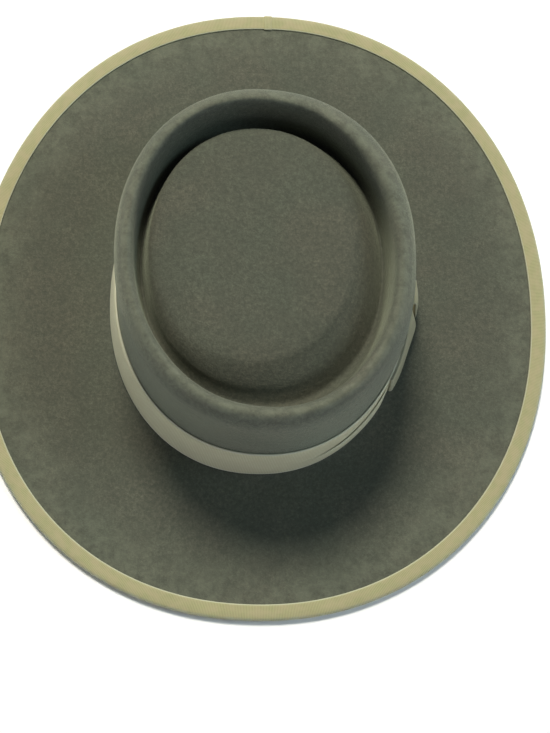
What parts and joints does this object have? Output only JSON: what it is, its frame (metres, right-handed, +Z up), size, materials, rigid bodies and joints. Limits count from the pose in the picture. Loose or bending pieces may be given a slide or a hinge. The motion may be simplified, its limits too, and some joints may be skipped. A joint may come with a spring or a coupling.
{
  "type": "gambler hat",
  "caption": "Wide flat-brimmed felt hat with a sunken oval top inside a raised rim, a ribbon-bound brim edge, a ribbon band and a flat side bow.",
  "frame": {"origin": "under the middle of the hat, on the surface that the bound brim rests on", "axes": "+Z up, +Y towards the hat's back, +X towards the wearer's left, where the bow is"},
  "size_m": [0.3414, 0.3766, 0.095],
  "materials": {
    "felt": "matte brushed grey-green fur felt",
    "binding_ribbon": "khaki cross-ribbed ribbon, faint sheen",
    "band_ribbon": "pale sage cross-ribbed ribbon, faint sheen"
  },
  "bodies": {
    "root": {"felt_body": "felt", "brim_binding": "binding_ribbon", "hat_band": "band_ribbon", "bow_front_loop": "band_ribbon", "bow_rear_loop": "band_ribbon", "bow_knot": "band_ribbon"}
  },
  "joints": []
}
